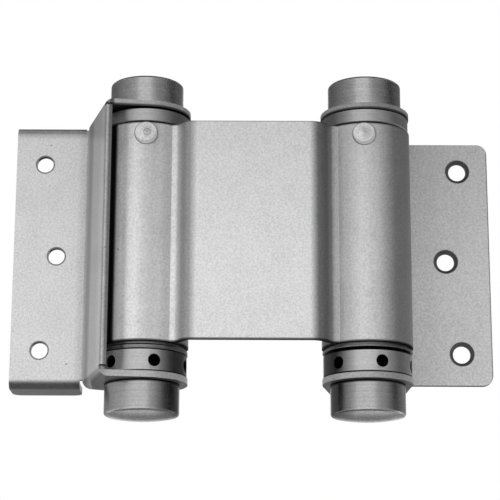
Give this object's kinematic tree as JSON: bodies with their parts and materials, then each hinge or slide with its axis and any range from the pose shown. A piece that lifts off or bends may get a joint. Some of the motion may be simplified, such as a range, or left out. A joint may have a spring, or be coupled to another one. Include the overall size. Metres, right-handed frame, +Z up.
{
  "type": "double action cafe hinge",
  "caption": "Sprung double action hinge: a jamb leaf and a door leaf turn on rolled barrels at the ends of one centre plate.",
  "frame": {"origin": "on the rear face of the jamb leaf, midway between its outer two screw holes", "axes": "+X from the door leaf towards the jamb leaf, +Y out of the rear face into the jamb, +Z up along the barrels"},
  "size_m": [0.1504, 0.0387, 0.1073],
  "materials": {
    "plated_sheet": "satin grey plating with a fine grain",
    "turned_steel": "turned, with fine lines round the axis",
    "spring_steel": "dark oiled wire"
  },
  "bodies": {
    "jamb": {"jamb_leaf": "plated_sheet", "jamb_spindle": "turned_steel", "jamb_top_cap": "turned_steel", "jamb_bottom_cap": "turned_steel"},
    "centre": {"centre_plate": "plated_sheet", "jamb_plug": "turned_steel", "jamb_rivet": "plated_sheet", "jamb_bushing": "turned_steel", "jamb_thrust_ring": "turned_steel", "jamb_spring": "spring_steel", "door_plug": "turned_steel", "door_rivet": "plated_sheet", "door_bushing": "turned_steel", "door_thrust_ring": "turned_steel", "door_spring": "spring_steel"},
    "door": {"door_leaf": "plated_sheet", "door_spindle": "turned_steel", "door_top_cap": "turned_steel", "door_bottom_cap": "turned_steel"},
    "jamb_adjuster": {"jamb_collar": "turned_steel"},
    "door_adjuster": {"door_collar": "turned_steel"}
  },
  "joints": [
    {"name": "jamb_swing", "type": "hinge", "parent": "jamb", "child": "centre", "pos_m": [-0.031, -0.0199, 0.0017], "axis": [0, 0, 1], "range_deg": [0, 180], "stiffness_Nm_per_rad": 0.15, "deforming": ["jamb_spring"]},
    {"name": "door_swing", "type": "hinge", "parent": "centre", "child": "door", "pos_m": [-0.0994, -0.0199, 0.0017], "axis": [0, 0, 1], "range_deg": [-90, 40], "stiffness_Nm_per_rad": 0.15, "deforming": ["door_spring"]},
    {"name": "jamb_collar_turn", "type": "hinge", "parent": "jamb", "child": "jamb_adjuster", "pos_m": [-0.031, -0.0199, -0.0382], "axis": [0, 0, 1], "range_deg": [0, 150], "deforming": ["jamb_spring"]},
    {"name": "door_collar_turn", "type": "hinge", "parent": "door", "child": "door_adjuster", "pos_m": [-0.0994, -0.0199, -0.0382], "axis": [0, 0, 1], "range_deg": [0, 150], "deforming": ["door_spring"]}
  ]
}
